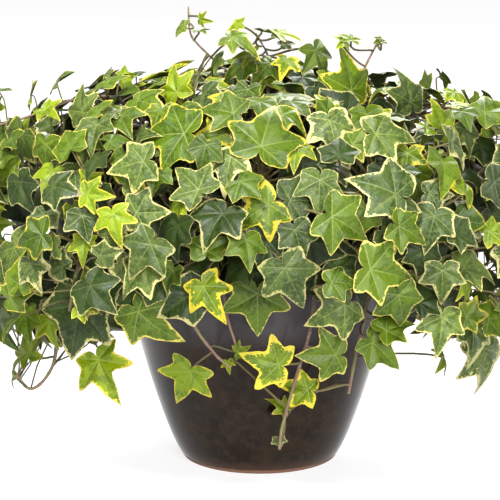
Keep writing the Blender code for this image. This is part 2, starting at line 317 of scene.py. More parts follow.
# Each vine: its radius at the soil and at its tip, where it leaves the soil (x, y), and the
# points (x, y, z) that it bends through, all in millimetres.
VINES = [
    # Four that come over the front of the rim and hang against the pot.
    (1.7, 0.9, (-30, -55), [
        (-40, -84, 158), (-48, -107, 147), (-45, -111, 123),
        (-31, -112, 102), (-20, -112, 92),
    ]),
    (1.3, 0.8, (-10, -60), [(-17, -88, 155), (-24, -108, 146), (-22, -110, 126), (-16, -111, 106)]),
    (1.7, 0.9, (25, -56), [
        (32, -86, 158), (36, -108, 147), (33, -112, 118),
        (24, -110, 85), (15, -106, 50), (13, -105, 33),
    ]),
    (1.7, 1.0, (52, -34), [(62, -70, 164), (73, -92, 152), (71, -95, 127), (65, -92, 98), (60, -90, 68)]),
    # Three that carry the front of the crown.
    (2.0, 1.0, (-44, -34), [
        (-62, -68, 195), (-86, -98, 214), (-106, -112, 194),
        (-121, -112, 160), (-128, -100, 128),
    ]),
    (2.0, 1.0, (0, -38), [(4, -78, 205), (0, -108, 221), (-12, -124, 200), (-20, -126, 168)]),
    (2.0, 1.0, (34, -26), [
        (54, -64, 200), (80, -96, 214), (98, -114, 190),
        (106, -114, 158), (101, -102, 130),
    ]),
    # The left side: a thick woody one, a lower one, and one that hangs and hooks back up.
    (2.6, 1.7, (-58, -8), [(-98, -18, 203), (-148, -20, 222), (-190, -22, 213), (-224, -24, 207)]),
    (1.9, 1.1, (-60, 20), [(-100, 8, 170), (-142, -30, 152), (-176, -48, 132), (-212, -58, 118)]),
    (1.7, 1.0, (-56, -28), [
        (-98, -48, 162), (-134, -48, 112), (-147, -30, 70),
        (-162, -26, 54), (-174, -24, 66),
    ]),
    # The right side.
    (2.4, 1.5, (58, -6), [(100, -8, 190), (148, -12, 206), (188, -14, 217), (222, -16, 222)]),
    (1.9, 1.0, (58, 26), [(104, 10, 164), (148, -16, 130), (176, -18, 106), (204, -24, 92)]),
    # The back.
    (2.0, 1.0, (-38, 40), [(-74, 84, 195), (-95, 128, 205), (-110, 160, 165), (-115, 172, 115)]),
    (2.0, 1.0, (2, 55), [(6, 98, 200), (11, 142, 195), (6, 170, 150), (1, 180, 105)]),
    (2.0, 1.0, (44, 42), [(79, 88, 195), (104, 128, 200), (119, 156, 155), (124, 168, 105)]),
    # Thin ones that rise from the crown.
    (1.6, 0.6, (-18, -12), [
        (-14, -4, 200), (-20, 0, 268), (-29, 2, 281),
        (-44, 2, 296), (-49, 0, 305), (-50, 0, 322),
    ]),
    (1.5, 0.6, (8, 12), [(6, 10, 210), (5, 8, 262), (6, 5, 285), (-3, 4, 303)]),
    (1.6, 0.7, (34, 8), [(50, 4, 190), (64, 2, 250), (73, 2, 278), (84, 3, 300)]),
    # The upper left and upper right shoulders.
    (1.8, 0.8, (-38, 2), [(-60, 0, 200), (-92, -2, 252), (-124, 0, 258), (-164, 2, 244), (-194, 0, 236)]),
    (1.8, 0.8, (46, 24), [(76, 20, 200), (110, 16, 246), (150, 10, 246), (188, 6, 234)]),
]


def smooth_path(points, steps):
    """A Catmull-Rom curve through the points, with this many steps between two of them.

    Between two points it is the cubic whose slope at each is half the step between that
    point's neighbours.
    """
    points = np.asarray(points, float)
    ends = np.vstack((2 * points[0] - points[1], points, 2 * points[-1] - points[-2]))
    t = (np.arange(steps) / steps)[None, :, None]
    a, b, c, d = (ends[i:len(ends) - 3 + i, None, :] for i in range(4))
    curve = 0.5 * (2 * b + (c - a) * t + (2 * a - 5 * b + 4 * c - d) * t ** 2
                   + (3 * b - a - 3 * c + d) * t ** 3)
    return np.vstack((curve.reshape(-1, 3), points[-1]))


def tube_surface(path, radii, sides, flutes=0.0):
    """A closed tube along a path, its section kept from twisting as it goes.

    Each ring is centre + radius (cos a side + sin a up); flutes makes the radius wave
    three times round. The ends are closed at poles.
    """
    path = np.asarray(path, float)
    along = np.gradient(path, axis=0)
    along /= np.linalg.norm(along, axis=1, keepdims=True)
    start = np.cross(along[0], (1, 0, 0) if abs(along[0][0]) < 0.8 else (0, 1, 0))
    side = np.empty_like(path)
    for i, direction in enumerate(along):
        start = start - direction * start.dot(direction)
        start = side[i] = start / np.linalg.norm(start)
    up = np.cross(along, side)
    angle = np.linspace(0, 2 * np.pi, sides, endpoint=False)
    wave = (1 + flutes * np.cos(3 * angle))[None, :, None]
    ring = (side[:, None] * np.cos(angle)[None, :, None] + up[:, None] * np.sin(angle)[None, :, None])
    points = (path[:, None] + np.asarray(radii)[:, None, None] * wave * ring).reshape(-1, 3)
    points = np.vstack((points, path[0], path[-1]))
    grid = np.arange(len(path) * sides).reshape(len(path), sides)
    following = np.roll(grid, -1, axis=1)
    walls = np.stack((grid[:-1], following[:-1], following[1:], grid[1:]), axis=2).reshape(-1, 4)
    foot = np.column_stack((np.full(sides, len(points) - 2), following[0], grid[0]))
    tip = np.column_stack((np.full(sides, len(points) - 1), grid[-1], following[-1]))
    return points, [*walls.tolist(), *foot.tolist(), *tip.tolist()]


def add_attribute(mesh, name, values):
    """A vector for each vertex, which materials read by this name."""
    attribute = mesh.attributes.new(name, "FLOAT_VECTOR", "POINT")
    attribute.data.foreach_set("vector", np.asarray(values, np.float32).ravel())


def bark_material():
    """Brown ridged bark that turns smooth and green towards the tip of the vine.

    The attribute "growth" holds the share of the way to the tip, the distance along the
    vine in metres, and a number of its own for each vine.
    """
    material, nodes, surface = new_material("vine_bark")
    place = nodes.add("ShaderNodeTexCoord").outputs["Object"]
    growth = nodes.add("ShaderNodeAttribute", {"attribute_name": "growth"}).outputs["Vector"]
    share = nodes.add("ShaderNodeSeparateXYZ", Vector=growth).outputs["X"]
    streak = nodes.noise(place, 900, 3, 0.6)
    patch = nodes.noise(place, 110, 3)
    wood = nodes.mix(nodes.ramp(streak, 0.35, 0.65), (0.042, 0.023, 0.015), (0.150, 0.095, 0.060))
    wood = nodes.mix(nodes.ramp(patch, 0.45, 0.75), wood, (0.075, 0.036, 0.030))
    young = nodes.mix(nodes.ramp(patch, 0.4, 0.6), (0.150, 0.080, 0.060), (0.150, 0.140, 0.045))
    nodes.put(surface.inputs["Base Color"], nodes.mix(nodes.ramp(share, 0.45, 1.0), wood, young))
    surface.inputs["Roughness"].default_value = 0.62
    nodes.bump(surface, 0.5, 0.0005, streak)
    return material


def vine_piece(name, path, thick, thin, replaced):
    """A vine's fine tube: tapered, swollen at each joint, with the growth attribute."""
    length = np.concatenate(([0], np.cumsum(np.linalg.norm(np.diff(path, axis=0), axis=1))))
    share = length / length[-1]
    joint = np.cos(2 * np.pi * length / JOINT_SPACING) ** 24
    radii = mm(thick + (thin - thick) * share) * (1 + JOINT_SWELL * joint)
    points, faces = tube_surface(path, radii, VINE_SIDES, 0.06)
    piece = add_piece(name, points, faces, bark, replaced)
    growth = np.column_stack((share, length, np.full(len(path), thick)))
    rings = np.repeat(growth, VINE_SIDES, axis=0)
    add_attribute(piece.data, "growth", np.vstack((rings, rings[0], rings[-1])))


bark = bark_material()
stems = []
for number, (thick, thin, (x, y), bends) in enumerate(VINES, 1):
    foot = np.array((x * 0.001, y * 0.001, SOIL_HEIGHT + SOIL_CROWN - PLANTED_DEPTH))
    collar = foot + (0, 0, PLANTED_DEPTH + 0.002)
    path = smooth_path([collar, *mm(bends)], 14)
    vine_piece(f"vine_{number:02d}_bark", np.vstack((foot, path)), thick, thin, [f"vine_{number:02d}"])
    stems.append((path, mm(np.linspace(thick, thin, len(path)))))

# ---------------------------------------------------------------------------
# The leaves: five pointed lobes from one hub, green with an uneven cream or yellow border.
# Old ones are broad, grey-green and dark in patches; young ones are lime and deeply cut.
# ---------------------------------------------------------------------------
VEIN_TURNS = (0, 60, 116)
BLADE_THICKNESS = 0.0004

# Half of a leaf's outline, from the tip round to the petiole: angle in degrees, radius of an
# old leaf and radius of a young one, both over the length from hub to tip.
OUTLINE = np.array([
    (0, 1.00, 1.00), (4, 0.92, 0.88), (9, 0.84, 0.75), (16, 0.75, 0.61), (25, 0.67, 0.48),
    (33, 0.635, 0.43), (42, 0.655, 0.48), (50, 0.72, 0.60), (56, 0.77, 0.70), (61, 0.80, 0.76),
    (66, 0.75, 0.68), (73, 0.67, 0.54), (83, 0.60, 0.43), (92, 0.57, 0.40), (102, 0.57, 0.46),
    (110, 0.58, 0.52), (117, 0.58, 0.54), (126, 0.54, 0.44), (142, 0.46, 0.33), (158, 0.37, 0.25),
    (170, 0.26, 0.17), (180, 0.12, 0.08),
])


def leaf_grid(half_angles, fractions, under_fractions):
    """(angles, fractions, under flags, faces) of a thin closed leaf.

    The top has a hub and a ring of points for each fraction of the way to the outline; the
    underside has its own hub and rings, and shares the outline's ring.
    """
    angles = np.radians(np.concatenate((half_angles, 360 - np.asarray(half_angles)[-2:0:-1])))
    count = len(angles)

    def rings(levels, first, hub, edge, flip):
        faces = []
        ring = [np.arange(count) + first + count * level for level in range(len(levels) - 1)] + [edge]
        here = ring[0]
        faces += np.column_stack((np.full(count, hub), np.roll(here, -1), here)).tolist()
        for inner, outer in zip(ring, ring[1:]):
            faces += np.column_stack((inner, np.roll(inner, -1), np.roll(outer, -1), outer)).tolist()
        return [face[::-1] for face in faces] if flip else faces

    edge = np.arange(count) + 2
    top_first = 2 + count
    under_first = top_first + count * (len(fractions) - 1)
    faces = rings(fractions, top_first, 0, edge, False)
    faces += rings(under_fractions, under_first, 1, edge, True)
    inner = (*fractions[:-1], *under_fractions[:-1])
    angle = np.concatenate(([0, 0], np.tile(angles, 1 + len(inner))))
    fraction = np.concatenate(([0, 0], np.ones(count), np.repeat(inner, count)))
    on_top, below = count * len(fractions), count * (len(under_fractions) - 1)
    under = np.concatenate(([0, 1], np.zeros(on_top), np.ones(below)))
    return angle, fraction, under, faces


FINE_LEAF = leaf_grid(
    np.arange(0, 181, 4), (0.10, 0.25, 0.42, 0.60, 0.76, 0.88, 0.95, 1), (0.3, 0.65, 1))
MIDDLE_LEAF = leaf_grid(
    (0, 4, 9, 16, 25, 33, 42, 50, 56, 61, 66, 73, 83, 92, 104, 117, 130, 145, 160, 172, 180),
    (0.3, 0.6, 0.85, 1), (0.5, 1))
PLAIN_LEAF = leaf_grid((0, 9, 25, 38, 50, 60, 73, 90, 116, 145, 180), (0.55, 1), (1,))


def vein_distance(x, y):
    """Distance in the blade's plane to the nearest of the five main veins."""
    x = np.abs(x)
    nearest = np.full_like(x, 9.0)
    for turn in np.radians(VEIN_TURNS):
        along = x * np.sin(turn) + y * np.cos(turn)
        off = np.abs(x * np.cos(turn) - y * np.sin(turn))
        nearest = np.minimum(nearest, np.where(along > 0, off, np.hypot(x, y)))
    return nearest


def blade_shape(grid, length, youth, rng, calm=1.0):
    """(points, plan) of one blade in its own axes: across, to the tip, out of the face.

    The plan is the outline's radius times each point's fraction. Its height drops with the
    square of the radius, rises away from the main veins, waves round the edge, and each half
    can fold about the midrib; calm scales what differs from leaf to leaf.
    """
    angle, fraction, under, _ = grid
    turned = np.degrees(np.where(angle > np.pi, 2 * np.pi - angle, angle))
    old = np.interp(turned, OUTLINE[:, 0], OUTLINE[:, 1])
    young = np.interp(turned, OUTLINE[:, 0], OUTLINE[:, 2])
    lean, breadth = rng.uniform(-0.09, 0.09), rng.uniform(0.90, 1.10)
    radius = fraction * (old + (young - old) * youth)
    ripple = 0.012 * np.sin(17 * angle + rng.uniform(0, 6)) + 0.010 * np.sin(29 * angle + rng.uniform(0, 6))
    uneven = 0.045 * np.sin(2 * angle + rng.uniform(0, 6)) + 0.035 * np.sin(3 * angle + rng.uniform(0, 6))
    radius = radius * (1 + ripple * fraction + (lean * np.sin(angle) + uneven * fraction) * calm)
    x, y = radius * np.sin(angle) * breadth, radius * np.cos(angle)
    droop, fold = rng.uniform(0.12, 0.42), rng.uniform(0.15, 0.45)
    wave, phase = rng.uniform(0.02, 0.07), rng.uniform(0, 6)
    curl, sag = rng.uniform(-0.08, 0.34), rng.uniform(-0.22, 0.22) * calm
    half = rng.uniform(-0.15, 0.45) * calm
    z = -droop * radius ** 2 + fold * vein_distance(x, y) * (1 - 0.5 * radius)
    z = z + wave * radius ** 2 * np.sin(5 * angle + phase)
    z = z + 0.4 * wave * radius ** 3 * np.sin(9 * angle - phase)
    z = z - curl * np.maximum(y, 0) ** 3 + sag * x * radius + half * np.abs(x) * (1 - 0.4 * np.abs(x))
    z = z - np.where(under > 0, BLADE_THICKNESS / length * (1 - fraction ** 2), 0)
    return np.column_stack((x, y, z)) * length, np.column_stack((x, y, np.zeros_like(x)))


def leaf_axes(place, turn, face, yaw=0.0):
    """(across, to the tip, out of the face) of a leaf at this place, as unit vectors.

    It faces away from the pot's axis, less turned at the front, plus its yaw; face is its
    upward tilt and turn is its tip's, clockwise from straight up, all in degrees.
    """
    outward = math.atan2(place[0], -place[1])
    azimuth = outward * (0.6 if place[1] < 0 else 1) + math.radians(yaw)
    face, turn = math.radians(face), math.radians(turn)
    level = math.cos(face)
    normal = np.array((math.sin(azimuth) * level, -math.cos(azimuth) * level, math.sin(face)))
    right = np.array((math.cos(azimuth), math.sin(azimuth), 0))
    up = np.array((0, 0, 1)) - normal * normal[2]
    up /= np.linalg.norm(up)
    tip = up * math.cos(turn) + right * math.sin(turn)
    return np.cross(tip, normal), tip, normal


# A petiole starts this far behind the blade's hub, and ends this share of the vine's radius
# away from the vine's middle, so inside the bark.
HUB_GAP = 0.0016
INTO_BARK = 0.6

# The vines' points that a petiole can end at, with the vine's radius, number and direction there.
ALL_STEMS = np.vstack([path[6:-3] for path, _ in stems])
STEM_RADII = np.concatenate([radii[6:-3] for _, radii in stems])
STEM_OWNERS = np.concatenate([np.full(len(path) - 9, number) for number, (path, _) in enumerate(stems, 1)])
STEM_WAYS = np.vstack([np.gradient(path, axis=0)[6:-3] for path, _ in stems])
STEM_WAYS /= np.linalg.norm(STEM_WAYS, axis=1, keepdims=True)


def heading(start, tip, normal, reach):
    """The point that a petiole of this reach heads for as it leaves the blade backwards."""
    return start - (tip * 0.8 + normal * 0.6) * reach * 0.35


def curved_stalk(start, end, tip, normal, side, steps):
    """A petiole's path: from the hub it leaves backwards, and it reaches the bark along side.

    It is the cubic start (1-t)^3 + leave 3t(1-t)^2 + arrive 3t^2(1-t) + end t^3.
    """
    reach = np.linalg.norm(end - start)
    leave = heading(start, tip, normal, reach)
    arrive = end + side * reach * 0.25
    t = np.linspace(0, 1, steps)[:, None]
    curve = (start * (1 - t) ** 3 + leave * 3 * t * (1 - t) ** 2
             + arrive * 3 * t ** 2 * (1 - t) + end * t ** 3)
    return np.vstack((start + normal * 0.0014, curve))


def petiole_path(place, tip, normal, steps, rank=0):
    """(path, vine number) from a blade's hub to a vine behind it: a cubic from hub to bark.

    rank 0 takes the nearest point of any vine, and a higher rank one further off.
    """
    away = ALL_STEMS - place
    reach = np.linalg.norm(away, axis=1)
    behind = (away @ normal < -0.008) & (reach > 0.012)
    cost = np.where(behind, reach, 9)
    chosen = np.argsort(cost)[rank * 9]
    reach, nearest, way = reach[chosen], ALL_STEMS[chosen], STEM_WAYS[chosen]
    start = place - normal * HUB_GAP
    side = heading(start, tip, normal, reach) - nearest
    side -= way * side.dot(way)
    side /= np.linalg.norm(side)
    end = nearest + side * STEM_RADII[chosen] * INTO_BARK
    return curved_stalk(start, end, tip, normal, side, steps), int(STEM_OWNERS[chosen])


def veins_group():
    """Node group: pale veins of an ivy leaf from its plan, as masks and a height.

    Main veins are narrow bands round the rays from the hub, tapering to the tips. Side veins
    leave the nearest ray forwards at about 45 degrees, at equal steps along it.
    """
    tree = bpy.data.node_groups.new("leaf_veins", "ShaderNodeTree")
    tree.interface.new_socket("Plan", in_out="INPUT", socket_type="NodeSocketVector")
    for name in ("Main", "Side", "Height"):
        tree.interface.new_socket(name, in_out="OUTPUT", socket_type="NodeSocketFloat")
    nodes = Nodes(tree)
    plan = nodes.add("NodeGroupInput").outputs["Plan"]
    bend = nodes.maths("MULTIPLY_ADD", nodes.noise(plan, 3.0, 1), 0.08, -0.04)
    parts = nodes.add("ShaderNodeSeparateXYZ", Vector=plan).outputs
    x = nodes.maths("ABSOLUTE", nodes.maths("ADD", parts["X"], nodes.maths("MULTIPLY", bend, 0.3)))
    y = parts["Y"]
    rays = []
    for turn in np.radians(VEIN_TURNS):
        along = nodes.maths("ADD", nodes.maths("MULTIPLY", x, math.sin(turn)),
                            nodes.maths("MULTIPLY", y, math.cos(turn)))
        off = nodes.maths("SUBTRACT", nodes.maths("MULTIPLY", x, math.cos(turn)),
                          nodes.maths("MULTIPLY", y, math.sin(turn)))
        off = nodes.maths("ADD", nodes.maths("ABSOLUTE", off), nodes.maths("LESS_THAN", along, 0.0))
        rays.append((along, off))
    nearest = nodes.maths("MINIMUM", nodes.maths("MINIMUM", rays[0][1], rays[1][1]), rays[2][1])
    main, side = 0.0, 0.0
    for (along, off), spacing in zip(rays, (0.15, 0.13, 0.12)):
        width = nodes.maths("MAXIMUM", nodes.maths("MULTIPLY_ADD", along, -0.017, 0.021), 0.006)
        band = nodes.ramp(nodes.maths("DIVIDE", off, width), 1.0, 0.35)
        main = nodes.maths("MAXIMUM", main, band)
        own = nodes.maths("LESS_THAN", off, nodes.maths("ADD", nearest, 0.0005))
        slanted = nodes.maths("SUBTRACT", nodes.maths("ADD", along, bend), off)
        step = nodes.maths("DIVIDE", slanted, spacing)
        gap = nodes.maths("ABSOLUTE", nodes.maths("SUBTRACT", nodes.maths("FRACT", step), 0.5))
        line = nodes.maths("MULTIPLY", nodes.ramp(gap, 0.12, 0.03), nodes.ramp(off, 0.26, 0.04))
        side = nodes.maths("MAXIMUM", side, nodes.maths("MULTIPLY", line, own))
    height = nodes.maths("SUBTRACT", nodes.ramp(nearest, 0.0, 0.13),
                         nodes.maths("MULTIPLY", side, 0.35))
    out = nodes.add("NodeGroupOutput")
    for name, value in (("Main", main), ("Side", side), ("Height", height)):
        nodes.put(out.inputs[name], value)
    return tree


def leaf_material():
    """One leaf finish whose colours come from each leaf's own attributes.

    "plan" is the place in the leaf over its length, with the fraction to the outline third;
    "tone" is youth, greyness and darkness; "border" is the border's width, its yellowness
    and the leaf's own number; "side" is 1 on the underside, then the leaf's brightness, then 1
    on petioles.
    """
    material, nodes, surface = new_material("ivy_leaf")

    def read(name):
        vector = nodes.add("ShaderNodeAttribute", {"attribute_name": name}).outputs["Vector"]
        return vector, nodes.add("ShaderNodeSeparateXYZ", Vector=vector).outputs

    plan, (across, to_tip, fraction) = read("plan")
    _, (youth, grey, dark) = read("tone")
    _, (width, yellow, own) = read("border")
    _, (under, shade, stalk) = read("side")
    flat = nodes.add("ShaderNodeCombineXYZ", X=across, Y=to_tip).outputs[0]
    veins = nodes.add("ShaderNodeGroup", {"node_tree": veins_group()}, Plan=flat).outputs
    spot = nodes.add("ShaderNodeCombineXYZ", X=across, Y=to_tip, Z=own).outputs[0]
    broad, fine = nodes.noise(spot, 2.6, 3, 0.6, 0.6), nodes.noise(spot, 9.0, 4, 0.65, 0.8)
    grain, bitten = nodes.noise(spot, 42.0, 2), nodes.noise(spot, 17.0, 3, 0.7)

    green = nodes.mix(youth, (0.028, 0.066, 0.001), (0.165, 0.232, 0.000))
    green = nodes.mix(grey, green, (0.054, 0.082, 0.022))
    deep = nodes.mix(1.0, green, (0.56, 0.62, 0.58), "MULTIPLY")
    pale = nodes.mix(nodes.maths("MULTIPLY_ADD", grey, 0.45, 0.10), green, (0.195, 0.232, 0.070))
    patched = nodes.mix(nodes.ramp(broad, 0.43, 0.52), deep, green)
    patched = nodes.mix(nodes.ramp(fine, 0.50, 0.62, 0.0, 0.85), patched, pale)
    patched = nodes.mix(nodes.ramp(grain, 0.35, 0.65, 0.0, 0.10), patched, deep)
    veined = nodes.mix(nodes.maths("MULTIPLY", veins["Side"], 0.18), patched, (0.170, 0.215, 0.055))
    veined = nodes.mix(nodes.maths("MULTIPLY", veins["Main"], 0.36), veined, (0.225, 0.270, 0.080))
    dimmed = nodes.mix(dark, veined, nodes.mix(1.0, veined, (0.20, 0.24, 0.25), "MULTIPLY"))

    ragged = nodes.maths("ADD", nodes.maths("MULTIPLY_ADD", broad, 1.3, -0.65),
                         nodes.maths("MULTIPLY_ADD", bitten, 1.3, -0.65))
    reach = nodes.maths("MULTIPLY", width, nodes.maths("ADD", 1.0, nodes.maths("MULTIPLY", ragged, 4.5)))
    reach = nodes.maths("MAXIMUM", reach, nodes.maths("MULTIPLY", width, 0.22))
    inside = nodes.maths("SUBTRACT", nodes.maths("SUBTRACT", 1.0, fraction), reach)
    border = nodes.ramp(inside, 0.020, -0.006)
    cream = nodes.mix(yellow, (0.370, 0.345, 0.180), (0.430, 0.350, 0.012))
    cream = nodes.mix(nodes.ramp(grain, 0.4, 0.7, 0.0, 0.35), cream, (0.270, 0.290, 0.080))
    cream = nodes.mix(nodes.maths("MULTIPLY", dark, 0.45), cream, (0.130, 0.130, 0.075))
    face = nodes.mix(border, dimmed, cream)
    back = nodes.mix(0.55, dimmed, (0.100, 0.130, 0.045))
    back = nodes.mix(nodes.maths("MULTIPLY", border, 0.6), back, cream)
    whole = nodes.mix(under, face, back)
    whole = nodes.mix(stalk, whole, (0.105, 0.088, 0.036))
    shaded = nodes.mix(1.0, whole, nodes.mix(shade, (0.40, 0.44, 0.45), (1.30, 1.25, 1.08)), "MULTIPLY")
    nodes.put(surface.inputs["Base Color"], shaded)
    rough = nodes.maths("MULTIPLY_ADD", nodes.maths("MAXIMUM", under, border), 0.12, 0.38)
    surface.inputs["IOR"].default_value = 1.30
    nodes.put(surface.inputs["Roughness"], nodes.maths("MULTIPLY_ADD", grain, 0.10, rough))
    relief = nodes.maths("ADD", nodes.maths("MULTIPLY", veins["Height"], 0.8),
                         nodes.maths("MULTIPLY", fine, 0.35))
    nodes.bump(surface, 0.55, 0.0009, relief)
    return material


ivy_leaf = leaf_material()

# What a tone's name means: youth, greyness, darkness, border width and border yellowness.
TONES = {
    "green": (0.25, 0.10, 0.05, 0.042, 0.60),
    "bright": (0.22, 0.00, 0.00, 0.050, 0.85),
    "lime": (0.85, 0.00, 0.00, 0.070, 0.85),
    "young": (0.55, 0.40, 0.00, 0.030, 0.45),
    "pale": (0.25, 0.70, 0.00, 0.060, 0.25),
    "slate": (0.00, 0.60, 0.40, 0.060, 0.10),
    "dark": (0.03, 0.28, 0.72, 0.042, 0.25),
    "gilt": (0.50, 0.10, 0.00, 0.170, 0.95),
    "cream": (0.15, 0.85, 0.00, 0.150, 0.08),
    # shade is painted shade: the darkest tone, for leaves deep in the foliage.
    "shade": (0.05, 0.10, 0.90, 0.030, 0.50),
}


class LeafBunch:
    """Leaves and petioles gathered into the arrays of one mesh."""

    def __init__(self):
        self.points, self.faces, self.values, self.count = [], [], [], 0

    def add(self, points, faces, plan, tone, border, side):
        """Adds one closed shape with its values at each point."""
        self.faces += [[corner + self.count for corner in face] for face in faces]
        self.points.append(points)
        rows = len(points)
        self.values.append(np.hstack([np.broadcast_to(v, (rows, 3)) for v in (plan, tone, border, side)]))
        self.count += rows

    def make_piece(self, name, slot, replaced=()):
        """Makes the gathered leaves one piece of the plant."""
        made = add_piece(name, np.vstack(self.points), self.faces, ivy_leaf, replaced)
        made.data.set_sharp_from_angle(angle=math.radians(75))
        values = np.vstack(self.values)
        for i, attribute in enumerate(("plan", "tone", "border", "side")):
            add_attribute(made.data, attribute, values[:, 3 * i:3 * i + 3])


def leaf_solid(place, pose, length, youth, rng, grid, calm=1.0):
    """(points, plan, axes) of a blade in its place; pose is (turn, face, yaw), length in metres."""
    axes = leaf_axes(place, *pose)
    local, plan = blade_shape(grid, length, youth, rng, calm)
    plan[:, 2] = grid[1]
    return place + local @ np.array(axes), plan, axes


def add_leaf(bunch, points, plan, grid, tone, stalk, rng, sides):
    """Puts a blade and its petiole in a bunch, with the leaf's own colours."""
    youth, grey, dark, width, yellow = tone
    border = (width, yellow, rng.uniform(0, 90))
    shade = rng.uniform(0.25, 0.85)
    side = np.column_stack((grid[2], np.full(len(points), shade), np.zeros(len(points))))
    bunch.add(points, grid[3], plan, (youth, grey, dark), border, side)
    radius = mm(0.75 if sides > 4 else 0.6)
    stalk_points, stalk_faces = tube_surface(stalk, np.linspace(radius, radius * 1.15, len(stalk)), sides)
    stalk_tone = (0.75, 0.0, dark * 0.6)
    stalk_side = (0.0, shade * (1 - 0.7 * dark), 1.0)
    bunch.add(stalk_points, stalk_faces, (0.0, 0.02, 0.0), stalk_tone, (0.0, 0.5, 1.0), stalk_side)


# The leafy mound, in millimetres: its widest level, its reach to the front and to each side
# there, how far it rises above that level and drops below it, and the least reach to the
# front of any place on it.
FACE_MIDDLE = 165
FACE_REACH = 172
FACE_HALF_WIDTH = 214
FACE_RISE = 110
FACE_DROP = 100
LEAST_REACH = 25

# Each of the larger leaves: where its petiole meets the blade, as how far it is across and up
# the mound's face and how far it stands off that face (a fourth number, 1, puts it on the
# back); the turn of its tip clockwise from straight up in degrees; its length from there to
# the tip; how far its face looks up in degrees; and its tone.
LARGE_LEAVES = [
    # The crown, from the middle out to the left.
    ((0, 245, 5), 15, 37, 30, "bright"),
    ((-50, 250, 0), 270, 35, 35, "bright"),
    ((-75, 238, 25), 255, 28, 25, "pale"),
    ((-40, 220, 0), 315, 26, 30, "pale"),
    ((-95, 205, 10), 165, 22, 20, "lime"),
    ((-112, 215, 10), 90, 20, 20, "lime"),
    ((-145, 235, -20), 180, 24, 10, "green"),
    ((-123, 252, -35), 330, 25, 15, "pale"),
    ((-57, 268, -10), 330, 26, 15, "lime"),
    # The crown, from the middle out to the right.
    ((-18, 262, 10), 285, 28, 40, "green"),
    ((5, 212, 0), 240, 30, 25, "gilt"),
    ((45, 205, 5), 120, 30, 20, "green"),
    ((86, 217, 10), 300, 32, 25, "slate"),
    ((88, 198, 10), 120, 24, 20, "green"),
    ((70, 170, 0), 105, 33, 15, "green"),
    ((140, 242, -30), 170, 22, 15, "pale"),
    ((122, 248, -10), 60, 26, 20, "lime"),
    ((104, 258, -40), 0, 27, 10, "slate"),
    ((45, 258, 10), 170, 27, 30, "cream"),
    ((63, 266, -40), 0, 34, 5, "bright"),
    ((38, 293, -10), 165, 26, 30, "young"),
    # The skirt and the left side.
    ((-70, 187, 5), 215, 28, 20, "pale"),
    ((-110, 157, 5), 135, 25, 15, "dark"),
    ((-142, 187, 10), 250, 25, 20, "bright"),
    ((-166, 168, -25), 135, 33, 15, "pale"),
    ((-120, 133, -35), 195, 43, 5, "dark"),
    ((-110, 90, -5), 150, 34, 12, "lime"),
    ((-162, 82, 15), 330, 25, 10, "lime"),
    ((-80, 136, -20), 135, 33, 0, "green"),
    # In front of the pot, and the right side.
    ((-37, 156, -20), 150, 28, 15, "gilt"),
    ((-2, 148, -35), 180, 31, 5, "green"),
    ((15, 174, 5), 155, 31, 5, "pale"),
    ((55, 140, -30), 240, 30, 5, "pale"),
    ((50, 102, -20), 270, 27, 0, "green"),
    ((12, 98, -10), 285, 28, 0, "gilt"),
    ((-47, 92, 0), 205, 28, 0, "lime"),
    ((156, 87, 15), 170, 38, 5, "cream"),
    # The back.
    ((55, 195, 0, 1), 165, 34, 25, "green"),
]
SLOTS = {
    "green": "leaf_green", "bright": "leaf_green",
    "young": "leaf_lime", "lime": "leaf_lime", "gilt": "leaf_lime",
    "pale": "leaf_pale", "cream": "leaf_pale",
    "slate": "leaf_dark", "dark": "leaf_dark",
}


def on_mound(across, up, stand, side=-1):
    """A point this far across and up the mound, standing off its face; side is 1 at the back.

    The mound's outline is a superellipse, widest at FACE_MIDDLE, and each level is an ellipse.
    """
    level = abs(up - FACE_MIDDLE) / (FACE_RISE if up > FACE_MIDDLE else FACE_DROP)
    size = max(0, 1 - level ** 2.4) ** (1 / 2.2)
    share = min(1, abs(across) / max(1, FACE_HALF_WIDTH * size))
    reach = max(LEAST_REACH, FACE_REACH * size * math.sqrt(1 - share ** 2))
    return across, side * (reach + stand), up


def solid_tree(points, faces):
    """(tree, middle, reach) of a shape, to test others against."""
    middle = (points.min(axis=0) + points.max(axis=0)) / 2
    reach = np.linalg.norm(points - middle, axis=1).max()
    return BVHTree.FromPolygons(points.tolist(), faces, all_triangles=False), middle, reach


class Crowd:
    """The shapes placed so far, with their middles and reaches side by side for quick tests."""

    def __init__(self, most=6000):
        self.trees, self.middles, self.reaches = [], np.zeros((most, 3)), np.zeros(most)

    def add(self, *shapes):
        """Takes in more shapes."""
        for tree, middle, reach in shapes:
            self.middles[len(self.trees)], self.reaches[len(self.trees)] = middle, reach
            self.trees.append(tree)

    def near(self, middle, reach):
        """The trees that a ball round this middle could touch."""
        count = len(self.trees)
        gaps = np.linalg.norm(self.middles[:count] - middle, axis=1) - self.reaches[:count]
        return [self.trees[i] for i in np.flatnonzero(gaps < reach)]


filled = Crowd()


def is_clear(shape):
    """Whether a shape's surface crosses none of those already placed."""
    tree, middle, reach = shape
    return not any(tree.overlap(other) for other in filled.near(middle, reach))


# The larger leaves' outlines are this much nearer to the young, deep-lobed one than their
# tones say, and the middling leaves' by MIDDLING_SHARE of that.
POINTED = 0.35
MIDDLING_SHARE = 0.6
large_places = []


def hides_large(hub, length):
    """Whether a leaf here would stand in front of one of the large leaves."""
    for place, normal, size in large_places:
        away = hub - place
        depth = away.dot(normal)
        if 0 < depth < 0.08 and np.linalg.norm(away - normal * depth) < 0.45 * (size + length):
            return True
    return False


def tone_values(name, rng, spread=1.0):
    """A tone's five numbers, each shifted a little."""
    shift = np.array((0.12, 0.12, 0.10, 0.05, 0.15)) * spread
    return np.clip(np.array(TONES[name]) + rng.uniform(-1, 1, 5) * shift, 0.0, 1.0)


